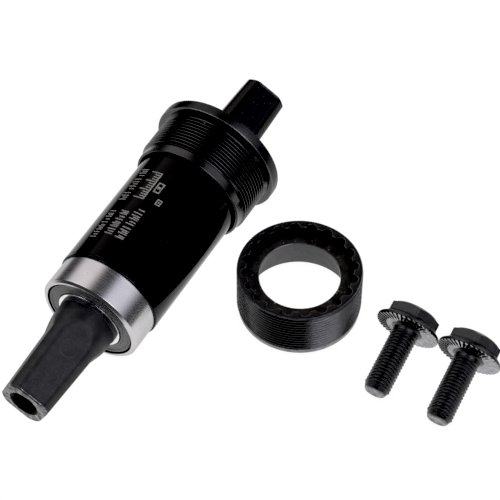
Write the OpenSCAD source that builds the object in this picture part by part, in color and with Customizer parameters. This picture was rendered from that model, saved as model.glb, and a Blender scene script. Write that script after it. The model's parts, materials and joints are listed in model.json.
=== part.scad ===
// Square-taper cartridge bottom bracket for a bicycle, laid out as a kit on a table.
// The cartridge lies on the rim of its flange and on the edge of its bare bearing ring.
// The loose non-drive cup stands beside it, and the two crank bolts lie next to the cup.
// The origin is on the spindle's axis, in the middle of the frame shell's width.
// +X points towards the drive side, level with the table, and +Z points up.

/* [Frame shell] */
// Width of the bicycle frame's shell that the cartridge fits
shell_w = 68; // [68:1:73]
// Major diameter of the shell's 1.37 inch x 24 tpi thread
thread_d = 34.8; // [34.6:0.1:35]

/* [Spindle] */
// Overall length of the spindle
spindle_len = 120; // [116:1:124]
// Distance of the spindle's middle from the shell's middle, towards the drive side
spindle_shift = -0.2; // [-2:0.1:1]
// Diameter of the journals that carry the bearings
journal_d = 17; // [16.8:0.1:17.2]
// Diameter of the shoulder between the bearings
shoulder_d = 18.8; // [18:0.1:19.4]
// Width across the flats at the small end of each square taper
taper_flat = 12.7; // [12.5:0.05:13]
// Angle between a taper's flat and the axis, in degrees
taper_angle = 2; // [1.5:0.1:2.5]
// Length of each square taper
taper_len = 21; // [18:0.5:23]
// Slope of the run-out from the flats to the round, in degrees
runout_angle = 20; // [15:1:40]
// Turn of the squares about the axis, as the spindle lies, in degrees
square_turn = 28; // [0:1:45]
// Diameter of the tapped hole in each end, for an M8 x 1 thread
tapped_d = 7; // [6.8:0.05:7.2]
// Depth of each tapped hole
tapped_depth = 24.5; // [22:0.5:30]

/* [Bearings] */
// Outside diameter of the bearings' outer rings
bearing_od = 29.8; // [29.6:0.1:30]
// Width of the inner rings
bearing_w = 12; // [11:0.5:13]
// Length of the skirt that carries on from each outer ring into the tube
skirt_len = 6; // [4:0.5:8]
// Diameter of the balls
ball_d = 3.969; // [3.9:0.01:4]
// Diameter of the circle through the balls' centres
pitch_d = 23.4; // [23.2:0.1:23.6]
// Number of balls in each bearing
ball_count = 12; // [9:1:13]
// Distance of the bare bearing ring's face from the shell's middle
bare_face = 29.8; // [29:0.1:31]

/* [Shell tube] */
// Outside diameter of the tube
tube_od = 30.8; // [30.6:0.1:31]
// Distance of the tube's bare end from the shell's middle
tube_end = 20.4; // [19:0.1:22]

/* [Cups] */
// Diameter of the drive cup's flange
flange_d = 38.4; // [37:0.1:40]
// Thickness of the drive cup's flange
flange_t = 3.3; // [2.5:0.1:4]
// Distance of the drive cup's inner end from the shell's middle
cup_start = 19.2; // [18:0.1:20]
// Height of the non-drive cup
loose_cup_h = 16.2; // [15:0.1:18]
// Diameter of the hole in the non-drive cup's web
web_hole_d = 22.5; // [21:0.1:24]
// Thickness of the non-drive cup's web
web_t = 2; // [1:0.1:3]
// Depth of the tool recess in each cup
recess_depth = 3; // [2:0.1:3.2]
// Diameter of the tool recess between its notches
recess_d = 29.4; // [29:0.1:29.6]
// Number of notches around the tool recess
notch_count = 20; // [12:1:22]
// Diameter of each round notch
notch_d = 2.9; // [2:0.1:3.2]

/* [Crank bolts] */
// Thread diameter
bolt_d = 8; // [8:0.1:8.2]
// Length under the head
bolt_len = 20; // [16:1:25]
// Diameter of the bolt's flange
bolt_flange_d = 18.2; // [17:0.1:18.4]
// Thickness of the bolt flange's rim
bolt_flange_t = 1.3; // [1:0.1:2]
// Width across the flats of the hexagon
hex_af = 14; // [13:0.5:14]
// Height of the head above the flange's bearing face
head_h = 5.5; // [5:0.1:8]

/* [Layout on the table] */
// Position of the loose cup's axis, X and Y
loose_cup_at = [14.2, -40];
// Position of the left bolt's bearing face, X and Y
left_bolt_at = [16.0, -72.8];
// Position of the right bolt's bearing face, X and Y
right_bolt_at = [16.8, -91.2];
// Direction each bolt's head points, from +X, in degrees, left bolt then right bolt
bolt_heading = [2.9, 3.4];
// Turn of each bolt's hexagon about its own axis, in degrees, left bolt then right bolt
bolt_turn = [15, 11];

/* [Hidden] */
$fn = 96;
eps = 0.01;
chamfer = 0.4;
// Radial clearance of parts that slide or run on each other
clearance = 0.05;

seat = shell_w / 2;
thread_r = thread_d / 2;
// Radius of the relief behind each flange and of the plain collar
relief_r = thread_r - 0.75;
flange_r = flange_d / 2;
flange_face = seat + flange_t;

bearing_r = bearing_od / 2;
half_w = bearing_w / 2;
ball_r = ball_d / 2;
pitch_r = pitch_d / 2;
groove_r = ball_r + clearance;
seal_seat_r = 13.5;
outer_land_r = 13.0;
inner_land_r = 10.4;
inner_step_r = 9.75;
land_half = 4.6;
ring_chamfer = 0.7;

bare_bearing_at = -bare_face + half_w;
recess_floor = flange_face - recess_depth;
// Thickness of the drive cup's wall that holds the drive bearing in
stop_t = 1.4;
stop_r = 13.8;
drive_bearing_at = recess_floor - stop_t - half_w;
tube_r = tube_od / 2;
tube_stop = recess_floor - stop_t;

journal_r = journal_d / 2;
shoulder_r = shoulder_d / 2;
spindle_lo = spindle_shift - spindle_len / 2;
spindle_hi = spindle_shift + spindle_len / 2;
snap_w = 0.9;
snap_groove_r = journal_r - 0.4;

// The cartridge leans until its flange and its bare end both touch the table
lean_on_tube = atan((flange_r - tube_r) / (seat + tube_end));
lean_on_ring = atan((flange_r - bearing_r) / (seat + bare_face - ring_chamfer));
lean = min(lean_on_tube, lean_on_ring);
table_z = seat * sin(lean) - flange_r * cos(lean);

bolt_r = bolt_d / 2;
bolt_flange_r = bolt_flange_d / 2;
bolt_chamfer = 0.8;
bolt_lean = atan((bolt_flange_r - bolt_r) / (bolt_len - bolt_chamfer));

// Turns a shape drawn about Z, with Z as the station along the spindle, onto the leaning axis.
module on_spindle_axis() {
    rotate([0, 90 - lean, 0]) children();
}

// Puts a bearing drawn about its ball circle, outboard side up, in the drive side.
module at_drive_bearing() {
    on_spindle_axis() translate([0, 0, drive_bearing_at]) children();
}

// Puts the same bearing in the non-drive side, outboard side towards the bare end.
module at_non_drive_bearing() {
    on_spindle_axis() translate([0, 0, bare_bearing_at]) mirror([0, 0, 1]) children();
}

module turned(profile) {
    rotate_extrude() polygon(profile);
}

// ---- Spindle ----

// Cutters for the four flats of one taper, whose small end is at z = 0 and points up.
module taper_flats() {
    root_half = taper_flat / 2 + taper_len * tan(taper_angle);
    cutter = 12;
    runout = 8;
    for (side = [0:3]) rotate([0, 0, side * 90 + square_turn]) {
        translate([taper_flat / 2, 0, 0])
            rotate([0, -taper_angle, 0])
            translate([0, -cutter, -taper_len]) cube([cutter, 2 * cutter, taper_len + 2]);
        translate([root_half, 0, -taper_len])
            rotate([0, -runout_angle, 0])
            translate([0, -cutter, -runout]) cube([cutter, 2 * cutter, runout]);
    }
}

// The tapped hole of one end, with its mouth at z = 0 and pointing up.
module tapped_hole() {
    tapped_r = tapped_d / 2;
    mouth_r = 4.3;
    drill_tip = 2;
    translate([0, 0, -tapped_depth]) cylinder(r = tapped_r, h = tapped_depth + eps);
    translate([0, 0, -tapped_depth - drill_tip]) cylinder(r1 = 0, r2 = tapped_r, h = drill_tip + eps);
    translate([0, 0, tapped_r - mouth_r]) cylinder(r1 = tapped_r, r2 = mouth_r, h = mouth_r - tapped_r);
}

module spindle_blank() {
    end_r = 8.0;
    end_chamfer = 0.5;
    round_from = taper_len + 3;
    shoulder_lo = bare_bearing_at + half_w;
    shoulder_hi = drive_bearing_at - half_w;
    turned([
        [0, spindle_lo], [end_r - end_chamfer, spindle_lo], [end_r, spindle_lo + end_chamfer],
        [journal_r, spindle_lo + round_from], [journal_r, shoulder_lo],
        [shoulder_r, shoulder_lo], [shoulder_r, shoulder_hi],
        [journal_r, shoulder_hi], [journal_r, spindle_hi - round_from],
        [end_r, spindle_hi - end_chamfer], [end_r - end_chamfer, spindle_hi], [0, spindle_hi]
    ]);
}

// Groove of one snap ring, whose inner side is at the given station.
module snap_groove(z) {
    translate([0, 0, z]) difference() {
        cylinder(r = journal_r + 1, h = snap_w + clearance);
        translate([0, 0, -eps]) cylinder(r = snap_groove_r, h = snap_w + 1);
    }
}

module spindle() {
    color("#1c1c1e") on_spindle_axis() difference() {
        spindle_blank();
        translate([0, 0, spindle_hi]) taper_flats();
        translate([0, 0, spindle_lo]) mirror([0, 0, 1]) taper_flats();
        translate([0, 0, spindle_hi]) tapped_hole();
        translate([0, 0, spindle_lo]) mirror([0, 0, 1]) tapped_hole();
        snap_groove(drive_bearing_at + half_w);
        snap_groove(bare_bearing_at - half_w - snap_w - clearance);
    }
}

// Open snap ring about Z, lying on z = 0.
module snap_ring() {
    gap = 2.4;
    difference() {
        cylinder(r = journal_r + 0.25, h = snap_w);
        translate([0, 0, -1]) cylinder(r = snap_groove_r, h = snap_w + 2);
        translate([0, -gap / 2, -1]) cube([journal_r + 2, gap, snap_w + 2]);
    }
}

module drive_snap_ring() {
    color("#2a2a2c") on_spindle_axis() translate([0, 0, drive_bearing_at + half_w]) snap_ring();
}

module non_drive_snap_ring() {
    color("#2a2a2c") on_spindle_axis()
        translate([0, 0, bare_bearing_at - half_w - snap_w]) snap_ring();
}

// ---- Bearings, each drawn about its ball circle with the outboard side up ----

module ball_groove() {
    rotate_extrude() translate([pitch_r, 0]) circle(r = groove_r, $fn = 48);
}

module outer_ring() {
    skirt_r = seal_seat_r + 0.4;
    skirt_end = -half_w - skirt_len;
    difference() {
        turned([
            [seal_seat_r, half_w], [bearing_r - ring_chamfer, half_w],
            [bearing_r, half_w - ring_chamfer], [bearing_r, skirt_end], [skirt_r, skirt_end],
            [skirt_r, -half_w], [seal_seat_r, -half_w], [seal_seat_r, -land_half],
            [outer_land_r, -land_half], [outer_land_r, land_half], [seal_seat_r, land_half]
        ]);
        ball_groove();
    }
}

module inner_ring() {
    difference() {
        turned([
            [journal_r, -half_w], [inner_step_r, -half_w], [inner_step_r, -land_half],
            [inner_land_r, -land_half], [inner_land_r, land_half], [inner_step_r, land_half],
            [inner_step_r, half_w - chamfer], [inner_step_r - chamfer, half_w], [journal_r, half_w]
        ]);
        ball_groove();
    }
}

module at_each_ball() {
    for (i = [0:ball_count - 1]) rotate([0, 0, i * 360 / ball_count]) translate([pitch_r, 0, 0]) children();
}

module balls() {
    at_each_ball() sphere(r = ball_r, $fn = 32);
}

module cage() {
    cage_half_w = 2.7;
    cage_half_t = 0.6;
    difference() {
        turned([
            [pitch_r - cage_half_t, -cage_half_w], [pitch_r + cage_half_t, -cage_half_w],
            [pitch_r + cage_half_t, cage_half_w], [pitch_r - cage_half_t, cage_half_w]
        ]);
        at_each_ball() sphere(r = groove_r, $fn = 32);
    }
}

// Rubber seal that snaps into the outer ring and runs just clear of the inner ring's step.
module seal() {
    lip_r = inner_step_r + clearance;
    back = land_half;
    bead_t = 0.45;
    front = half_w - 0.35;
    face_r = seal_seat_r - 0.4;
    turned([
        [lip_r, back], [seal_seat_r, back], [seal_seat_r, back + bead_t], [face_r, back + bead_t],
        [face_r, front], [lip_r + 0.25, front], [lip_r, front - 0.25]
    ]);
}

module drive_bearing_outer_ring() { color("#c8c8cc") at_drive_bearing() outer_ring(); }
module drive_bearing_inner_ring() { color("#d8d8da") at_drive_bearing() inner_ring(); }
module drive_bearing_balls() { color("#e0e0e2") at_drive_bearing() balls(); }
module drive_bearing_cage() { color("#8a7f5c") at_drive_bearing() cage(); }
module drive_bearing_outboard_seal() { color("#5c5c60") at_drive_bearing() seal(); }
module drive_bearing_inboard_seal() { color("#5c5c60") at_drive_bearing() mirror([0, 0, 1]) seal(); }

module non_drive_bearing_outer_ring() { color("#c8c8cc") at_non_drive_bearing() outer_ring(); }
module non_drive_bearing_inner_ring() { color("#d8d8da") at_non_drive_bearing() inner_ring(); }
module non_drive_bearing_balls() { color("#e0e0e2") at_non_drive_bearing() balls(); }
module non_drive_bearing_cage() { color("#8a7f5c") at_non_drive_bearing() cage(); }
module non_drive_bearing_outboard_seal() { color("#5c5c60") at_non_drive_bearing() seal(); }
module non_drive_bearing_inboard_seal() {
    color("#5c5c60") at_non_drive_bearing() mirror([0, 0, 1]) seal();
}

// ---- Tube, spacer and shield ----

module shell_tube() {
    edge = 0.25;
    color("#0c0c0e") on_spindle_axis() turned([
        [bearing_r, -tube_end], [tube_r - edge, -tube_end], [tube_r, -tube_end + edge],
        [tube_r, tube_stop], [bearing_r, tube_stop]
    ]);
}

// Keeps the two outer rings apart inside the tube.
module bearing_spacer() {
    spacer_t = 0.9;
    spacer_lo = bare_bearing_at + half_w + skirt_len;
    spacer_hi = drive_bearing_at - half_w - skirt_len;
    spacer_r = bearing_r - clearance;
    color("#9a9aa0") on_spindle_axis() turned([
        [spacer_r - spacer_t, spacer_lo], [spacer_r, spacer_lo],
        [spacer_r, spacer_hi], [spacer_r - spacer_t, spacer_hi]
    ]);
}

module drive_dust_shield() {
    shield_t = 1.3;
    lip_r = journal_r + clearance;
    color("#26262a") on_spindle_axis() translate([0, 0, recess_floor]) turned([
        [lip_r + 1.2, -0.25], [stop_r, -0.25], [stop_r, 0.4], [lip_r + 1.5, shield_t],
        [lip_r, shield_t], [lip_r, 0.5]
    ]);
}

// ---- Cups ----

// Cutter for a round recess with notches around it, with its floor at z = 0.
module tool_recess() {
    recess_r = recess_d / 2;
    cylinder(r = recess_r, h = recess_depth + 1);
    for (i = [0:notch_count - 1]) rotate([0, 0, i * 360 / notch_count])
        translate([recess_r, 0, 0]) cylinder(d = notch_d, h = recess_depth + 1, $fn = 32);
}

module drive_cup() {
    thread_lo = cup_start + 2.6;
    relief_lo = seat - 1.4;
    seat_root_r = thread_r + 0.1;
    mouth = 0.6;
    color("#151517") on_spindle_axis() difference() {
        turned([
            [tube_r + mouth, cup_start], [relief_r - chamfer, cup_start], [relief_r, cup_start + chamfer],
            [relief_r, thread_lo], [thread_r, thread_lo + thread_r - relief_r],
            [thread_r, relief_lo - chamfer], [thread_r - chamfer, relief_lo],
            [relief_r, relief_lo], [relief_r, seat - seat_root_r + relief_r], [seat_root_r, seat],
            [flange_r - chamfer / 2, seat],
            [flange_r, seat + chamfer / 2], [flange_r, flange_face - chamfer],
            [flange_r - chamfer, flange_face], [stop_r, flange_face], [stop_r, tube_stop],
            [tube_r, tube_stop], [tube_r, cup_start + mouth]
        ]);
        translate([0, 0, recess_floor]) tool_recess();
    }
}

module non_drive_cup() {
    base_chamfer = 0.9;
    bore_r = bearing_r + clearance;
    web_top = loose_cup_h - recess_depth;
    web_low = web_top - web_t;
    color("#17171a") translate([loose_cup_at.x, loose_cup_at.y, table_z]) difference() {
        turned([
            [bore_r + chamfer, 0], [thread_r - base_chamfer, 0], [thread_r, base_chamfer],
            [thread_r, loose_cup_h - chamfer], [thread_r - chamfer, loose_cup_h],
            [web_hole_d / 2, loose_cup_h], [web_hole_d / 2, web_low], [bore_r, web_low],
            [bore_r, chamfer]
        ]);
        translate([0, 0, web_top]) tool_recess();
    }
}

// ---- Crank bolts ----

// Flanged hexagon bolt about Z, head up, with the flange's bearing face at z = 0.
module crank_bolt() {
    hex_r = hex_af / 2 / cos(30);
    cone_r = hex_af / 2;
    corner_chamfer = 0.7;
    intersection() {
        cylinder(r = hex_r, h = head_h, $fn = 6);
        turned([
            [0, 0], [hex_r + 1, 0], [hex_r + 1, head_h - corner_chamfer - 1 * tan(30)],
            [cone_r - 0.4, head_h], [0, head_h]
        ]);
    }
    turned([
        [0, 0], [bolt_flange_r - 0.15, 0], [bolt_flange_r, 0.15], [bolt_flange_r, bolt_flange_t],
        [hex_af / 2 - 0.6, bolt_flange_t + 1.5], [0, bolt_flange_t + 1.5]
    ]);
    turned([
        [0, -bolt_len], [bolt_r - bolt_chamfer, -bolt_len], [bolt_r, -bolt_len + bolt_chamfer],
        [bolt_r, eps], [0, eps]
    ]);
}

// Lays a bolt on its flange's rim and the end of its thread.
module laid_bolt(at, heading, turn) {
    lift = table_z + bolt_flange_r * cos(bolt_lean);
    translate([at.x, at.y, lift]) rotate([0, 90 - bolt_lean, heading]) rotate([0, 0, turn]) crank_bolt();
}

module left_crank_bolt() {
    color("#222224") laid_bolt(left_bolt_at, bolt_heading[0], bolt_turn[0]);
}

module right_crank_bolt() {
    color("#222224") laid_bolt(right_bolt_at, bolt_heading[1], bolt_turn[1]);
}

spindle();
shell_tube();
drive_cup();
non_drive_cup();
bearing_spacer();
drive_dust_shield();
drive_snap_ring();
non_drive_snap_ring();
drive_bearing_outer_ring();
drive_bearing_inner_ring();
drive_bearing_balls();
drive_bearing_cage();
drive_bearing_outboard_seal();
drive_bearing_inboard_seal();
non_drive_bearing_outer_ring();
non_drive_bearing_inner_ring();
non_drive_bearing_balls();
non_drive_bearing_cage();
non_drive_bearing_outboard_seal();
non_drive_bearing_inboard_seal();
left_crank_bolt();
right_crank_bolt();
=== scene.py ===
"""Looks for a square-taper bottom bracket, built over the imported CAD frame.

The pieces are the cartridge's spindle, tube, bare bearing and fixed cup, the loose cup and two crank bolts.
Each is grown row by row around a joint's axis, from radii and stations measured on the CAD nodes. Lengths in
the script are in millimetres unless a comment says otherwise.
"""

import json
import math

import bmesh
import bpy
import numpy as np
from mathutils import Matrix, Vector


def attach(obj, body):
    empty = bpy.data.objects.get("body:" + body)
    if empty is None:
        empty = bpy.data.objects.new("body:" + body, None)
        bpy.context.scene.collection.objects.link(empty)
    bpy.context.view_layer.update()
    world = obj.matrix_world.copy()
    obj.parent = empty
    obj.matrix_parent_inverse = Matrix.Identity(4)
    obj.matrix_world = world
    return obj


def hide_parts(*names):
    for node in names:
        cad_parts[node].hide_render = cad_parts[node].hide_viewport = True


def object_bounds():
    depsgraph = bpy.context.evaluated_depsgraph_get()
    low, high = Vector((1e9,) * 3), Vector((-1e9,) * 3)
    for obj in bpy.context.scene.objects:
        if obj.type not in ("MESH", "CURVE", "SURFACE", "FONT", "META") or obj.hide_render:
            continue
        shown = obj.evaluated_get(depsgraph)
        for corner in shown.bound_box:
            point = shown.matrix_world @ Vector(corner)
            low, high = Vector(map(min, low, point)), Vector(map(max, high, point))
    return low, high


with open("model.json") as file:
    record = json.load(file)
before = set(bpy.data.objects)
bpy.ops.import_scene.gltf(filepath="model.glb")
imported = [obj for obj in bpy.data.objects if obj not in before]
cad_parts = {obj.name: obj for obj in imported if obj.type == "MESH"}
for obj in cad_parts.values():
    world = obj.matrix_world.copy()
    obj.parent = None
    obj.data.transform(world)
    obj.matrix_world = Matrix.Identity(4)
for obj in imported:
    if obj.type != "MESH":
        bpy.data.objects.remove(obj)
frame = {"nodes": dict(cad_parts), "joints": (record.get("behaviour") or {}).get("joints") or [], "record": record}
rest_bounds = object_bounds()

MM = 0.001
TAU = 2 * math.pi
JOINT = {j["name"]: j for j in frame["joints"]}
MOUNT = {m["name"]: m for m in frame["record"]["mounts"]}

# Faces that meet at more than this angle have an edge between them
SHARP = math.radians(38)

# Pitch and depth of the shell thread, and pitch of the bolt thread
SHELL_PITCH, SHELL_DEPTH, BOLT_PITCH = 25.4 / 24, 0.62, 1.0

# Share of the pitch and share of the depth for the rows of one turn of a 60 degree thread
V_THREAD = ((0.0, 0.0), (0.1, 0.0), (0.19, 0.22), (0.43, 0.93), (0.49, 1.0), (0.65, 1.0), (0.71, 0.93),
            (0.92, 0.22))

# Tool recess of both cups: notches, radius between them, radius of a notch, depth, radius of the rim's flat
NOTCHES, RECESS_R, NOTCH_R, RECESS_DEPTH, RIM_R = 20, 14.7, 1.45, 3.0, 16.6

# Ratchet under a bolt's flange: teeth, radians of sweep per millimetre of radius, share of the gentle side
TEETH, TOOTH_SWEEP, GENTLE = 38, 0.8, 0.72

# Middle of the plain ring stamped on the near flat, about the spindle's own axis
STAMP_AT = (-6.2, -3.3, -42.7)


# ---- Measuring the CAD ----

class Axis:
    """A joint's axis as a turning centre: z runs along it, x and y across it."""

    def __init__(self, joint):
        self.origin = np.array(JOINT[joint]["pos_m"], float)
        z = np.array(JOINT[joint]["axis"], float)
        z /= np.linalg.norm(z)
        y = np.cross((0.0, 0.0, 1.0), z)
        y = y / np.linalg.norm(y) if np.linalg.norm(y) > 1e-6 else np.array((0.0, 1.0, 0.0))
        self.basis = np.column_stack([np.cross(y, z), y, z])

    def place(self, local):
        """Points about this axis, in millimetres, as points of the shared frame, in metres."""
        return self.origin + local @ self.basis.T * MM

    def vertices(self, node):
        """A CAD node's vertices about this axis: radius, angle and station of each."""
        data = frame["nodes"][node].data
        co = np.empty(len(data.vertices) * 3)
        data.vertices.foreach_get("co", co)
        p = (co.reshape(-1, 3) - self.origin) @ self.basis / MM
        return np.hypot(p[:, 0], p[:, 1]), np.arctan2(p[:, 1], p[:, 0]), p[:, 2]

    def span(self, node):
        """Lowest and highest station of a CAD node."""
        z = self.vertices(node)[2]
        return z.min(), z.max()

    def radii(self, node, lo=-math.inf, hi=math.inf):
        """Smallest and largest radius of a CAD node between two stations."""
        r, _, z = self.vertices(node)
        near = r[(z >= lo) & (z <= hi)]
        return near.min(), near.max()

    def station(self, mount):
        """Station of a mount's position."""
        return float((np.array(MOUNT[mount]["pos_m"]) - self.origin) @ self.basis[:, 2] / MM)

    def corner_angle(self, node, sides, lo, hi):
        """Angle of a prism's first corner, from the CAD vertices farthest out between two stations."""
        r, angle, z = self.vertices(node)
        near = (z >= lo) & (z <= hi)
        outer = near & (r > r[near].max() - 0.05)
        return np.angle(np.exp(1j * sides * angle[outer]).sum()) / sides


AXIS = Axis("spindle_spin")


# ---- Outlines and rows ----

def rounded(corners, closed=False):
    """A turned outline through (radius, station, fillet) corners, with each fillet drawn as an arc.

    A fillet never takes more than 0.48 of a side, and a point just beyond each of its ends keeps the shading
    of that side flat."""
    steps, longest, beyond = 4, 0.48, 0.06
    out = []
    count = len(corners)
    for i, (r, z, fillet) in enumerate(corners):
        here = np.array((r, z), float)
        if not closed and i in (0, count - 1) or fillet <= 0:
            out.append(here)
            continue
        before = np.array(corners[i - 1][:2]) - here
        after = np.array(corners[(i + 1) % count][:2]) - here
        reach = min(np.linalg.norm(before), np.linalg.norm(after)) * longest
        before, after = before / np.linalg.norm(before), after / np.linalg.norm(after)
        half = math.acos(np.clip(before @ after, -1, 1)) / 2
        cut = min(fillet / math.tan(half), reach)
        start, end = here + before * cut, here + after * cut
        hold = min(beyond, 0.3 * cut)
        out.append(start + before * hold)
        for k in range(steps + 1):
            t = k / steps
            out.append((1 - t) ** 2 * start + 2 * t * (1 - t) * here + t ** 2 * end)
        out.append(end + after * hold)
    return np.array(out)


def loop(corners):
    """A closed outline whose last point is its first again."""
    section = rounded(corners, closed=True)
    return np.vstack([section, section[:1]])


def rings(outline, columns):
    """An outline as rows that go right round: row by column by (radius, station)."""
    return np.repeat(np.array(outline)[:, None, :], len(columns), axis=1)


def row(radii, stations):
    """One row from a radius and a station for each column; one of the two may be a number for them all."""
    return np.stack(np.broadcast_arrays(radii, stations), axis=1)


def capped(rows, station):
    """Closes a band's last row onto the axis at a station."""
    return np.concatenate([rows, [row(0 * rows[-1, :, 0], station)]])


def even_columns(count):
    return np.arange(count) * TAU / count


def envelope(points):
    """A radius as a function of station, through (station, radius) points."""
    z, r = zip(*points)
    return lambda at: np.interp(at, z, r)


def smooth_min(a, b, width):
    """The smaller of two lengths, with the crossing rounded over about the given width."""
    h = np.clip(0.5 + 0.5 * (b - a) / width, 0, 1)
    return b * (1 - h) + a * h - width * h * (1 - h)


def helix(columns, lo, hi, pitch, hand, outer, inner):
    """Rows of a screw thread, and the seam shift that joins one turn to the next.

    outer and inner give the crest and root radius at a station, and hand is 1 for a right-hand thread and -1
    for a left-hand one."""
    turns = range(-1, math.ceil((hi - lo) / pitch) + 2)
    share = np.array([k + along for k in turns for along, _ in V_THREAD])
    depth = np.array([deep for _ in turns for _, deep in V_THREAD])
    z = lo + (share[:, None] + hand * columns[None, :] / TAU) * pitch
    if hand < 0:
        z += pitch
    z = np.clip(z, lo, hi)
    r = inner(z) + depth[:, None] * (outer(z) - inner(z))
    return np.stack([r, z], axis=2), hand * len(V_THREAD)


# ---- Making pieces ----

def add_piece(name, axis, body, local, faces, materials, stands_for, face_materials=(), weld=False,
              sharp=SHARP):
    """A piece from points and faces about an axis, riding a body in place of the nodes it stands for."""
    mesh = bpy.data.meshes.new(name)
    mesh.from_pydata(axis.place(local).tolist(), [], faces)
    if len(face_materials):
        mesh.polygons.foreach_set("material_index", face_materials)
    stored = mesh.attributes.new("local", "FLOAT_VECTOR", "POINT")
    stored.data.foreach_set("vector", local.astype(np.float32).ravel())
    edit = bmesh.new()
    edit.from_mesh(mesh)
    if weld:
        bmesh.ops.remove_doubles(edit, verts=edit.verts, dist=0.002 * MM)
        bmesh.ops.dissolve_degenerate(edit, edges=edit.edges, dist=0.002 * MM)
    bmesh.ops.recalc_face_normals(edit, faces=edit.faces)
    edit.to_mesh(mesh)
    edit.free()
    mesh.shade_smooth()
    mesh.set_sharp_from_angle(angle=sharp)
    piece = bpy.data.objects.new(name, mesh)
    bpy.context.scene.collection.objects.link(piece)
    for material in materials:
        mesh.materials.append(material)
    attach(piece, body)
    if stands_for:
        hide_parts(*stands_for)


def grow(name, axis, body, columns, bands, materials, stands_for, sharp=SHARP):
    """A piece made of bands of rows. A band is (rows, material index) or (rows, index, seam shift), where
    the shift joins the last column to rows that many further on in the first."""
    points, faces, face_materials = [], [], []
    base = 0
    count = len(columns)
    for rows, material, *shifts in bands:
        shift = shifts[0] if shifts else 0
        height = len(rows)
        r, z = rows[:, :, 0], rows[:, :, 1]
        points.append(np.stack([r * np.cos(columns), r * np.sin(columns), z], axis=2).reshape(-1, 3))
        i, j = np.meshgrid(np.arange(height - 1), np.arange(count), indexing="ij")
        far = np.where(j == count - 1, i + shift, i)
        keep = (far >= 0) & (far + 1 < height)
        i, j, far = i[keep], j[keep], far[keep]
        after = (j + 1) % count
        faces.append(base + np.stack([i * count + j, far * count + after,
                                      (far + 1) * count + after, (i + 1) * count + j], axis=1))
        face_materials.append(np.full(len(i), material))
        base += height * count
    add_piece(name, axis, body, np.concatenate(points), np.concatenate(faces).tolist(), materials, stands_for,
              np.concatenate(face_materials).astype(np.int32), weld=True, sharp=sharp)


# ---- Finishes ----

class Nodes:
    """Shorthand for building a node tree. A source is a socket or a plain value."""

    def __init__(self, tree):
        self.tree = tree

    def add(self, kind, **settings):
        node = self.tree.nodes.new(kind)
        for key, value in settings.items():
            setattr(node, key, value)
        return node

    def feed(self, socket, source):
        if isinstance(source, bpy.types.NodeSocket):
            self.tree.links.new(source, socket)
        else:
            socket.default_value = source

    def math(self, operation, a, b, clamp=True):
        node = self.add("ShaderNodeMath", operation=operation, use_clamp=clamp)
        self.feed(node.inputs[0], a)
        self.feed(node.inputs[1], b)
        return node.outputs[0]

    def vector(self, operation, *sources, scale=1.0):
        node = self.add("ShaderNodeVectorMath", operation=operation)
        for socket, source in zip(node.inputs, sources):
            self.feed(socket, source)
        if operation == "SCALE":
            self.feed(node.inputs["Scale"], scale)
        return node.outputs["Value" if operation in ("LENGTH", "DISTANCE") else "Vector"]

    def parts(self, source):
        """The x, y and z of a vector."""
        split = self.add("ShaderNodeSeparateXYZ")
        self.feed(split.inputs[0], source)
        return split.outputs

    def spread(self, source, low, high, out_low=0.0, out_high=1.0, shape="SMOOTHSTEP"):
        """A value taken from one range to another, held at its ends."""
        ranged = self.add("ShaderNodeMapRange", interpolation_type=shape)
        for key, value in (("Value", source), ("From Min", low), ("From Max", high),
                           ("To Min", out_low), ("To Max", out_high)):
            self.feed(ranged.inputs[key], value)
        return ranged.outputs[0]

    def mixed(self, factor, a, b):
        """The output of a mix between two shader nodes."""
        mix = self.add("ShaderNodeMixShader")
        for socket, source in zip(mix.inputs, (factor, a.outputs[0], b.outputs[0])):
            self.feed(socket, source)
        return mix.outputs[0]


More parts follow.
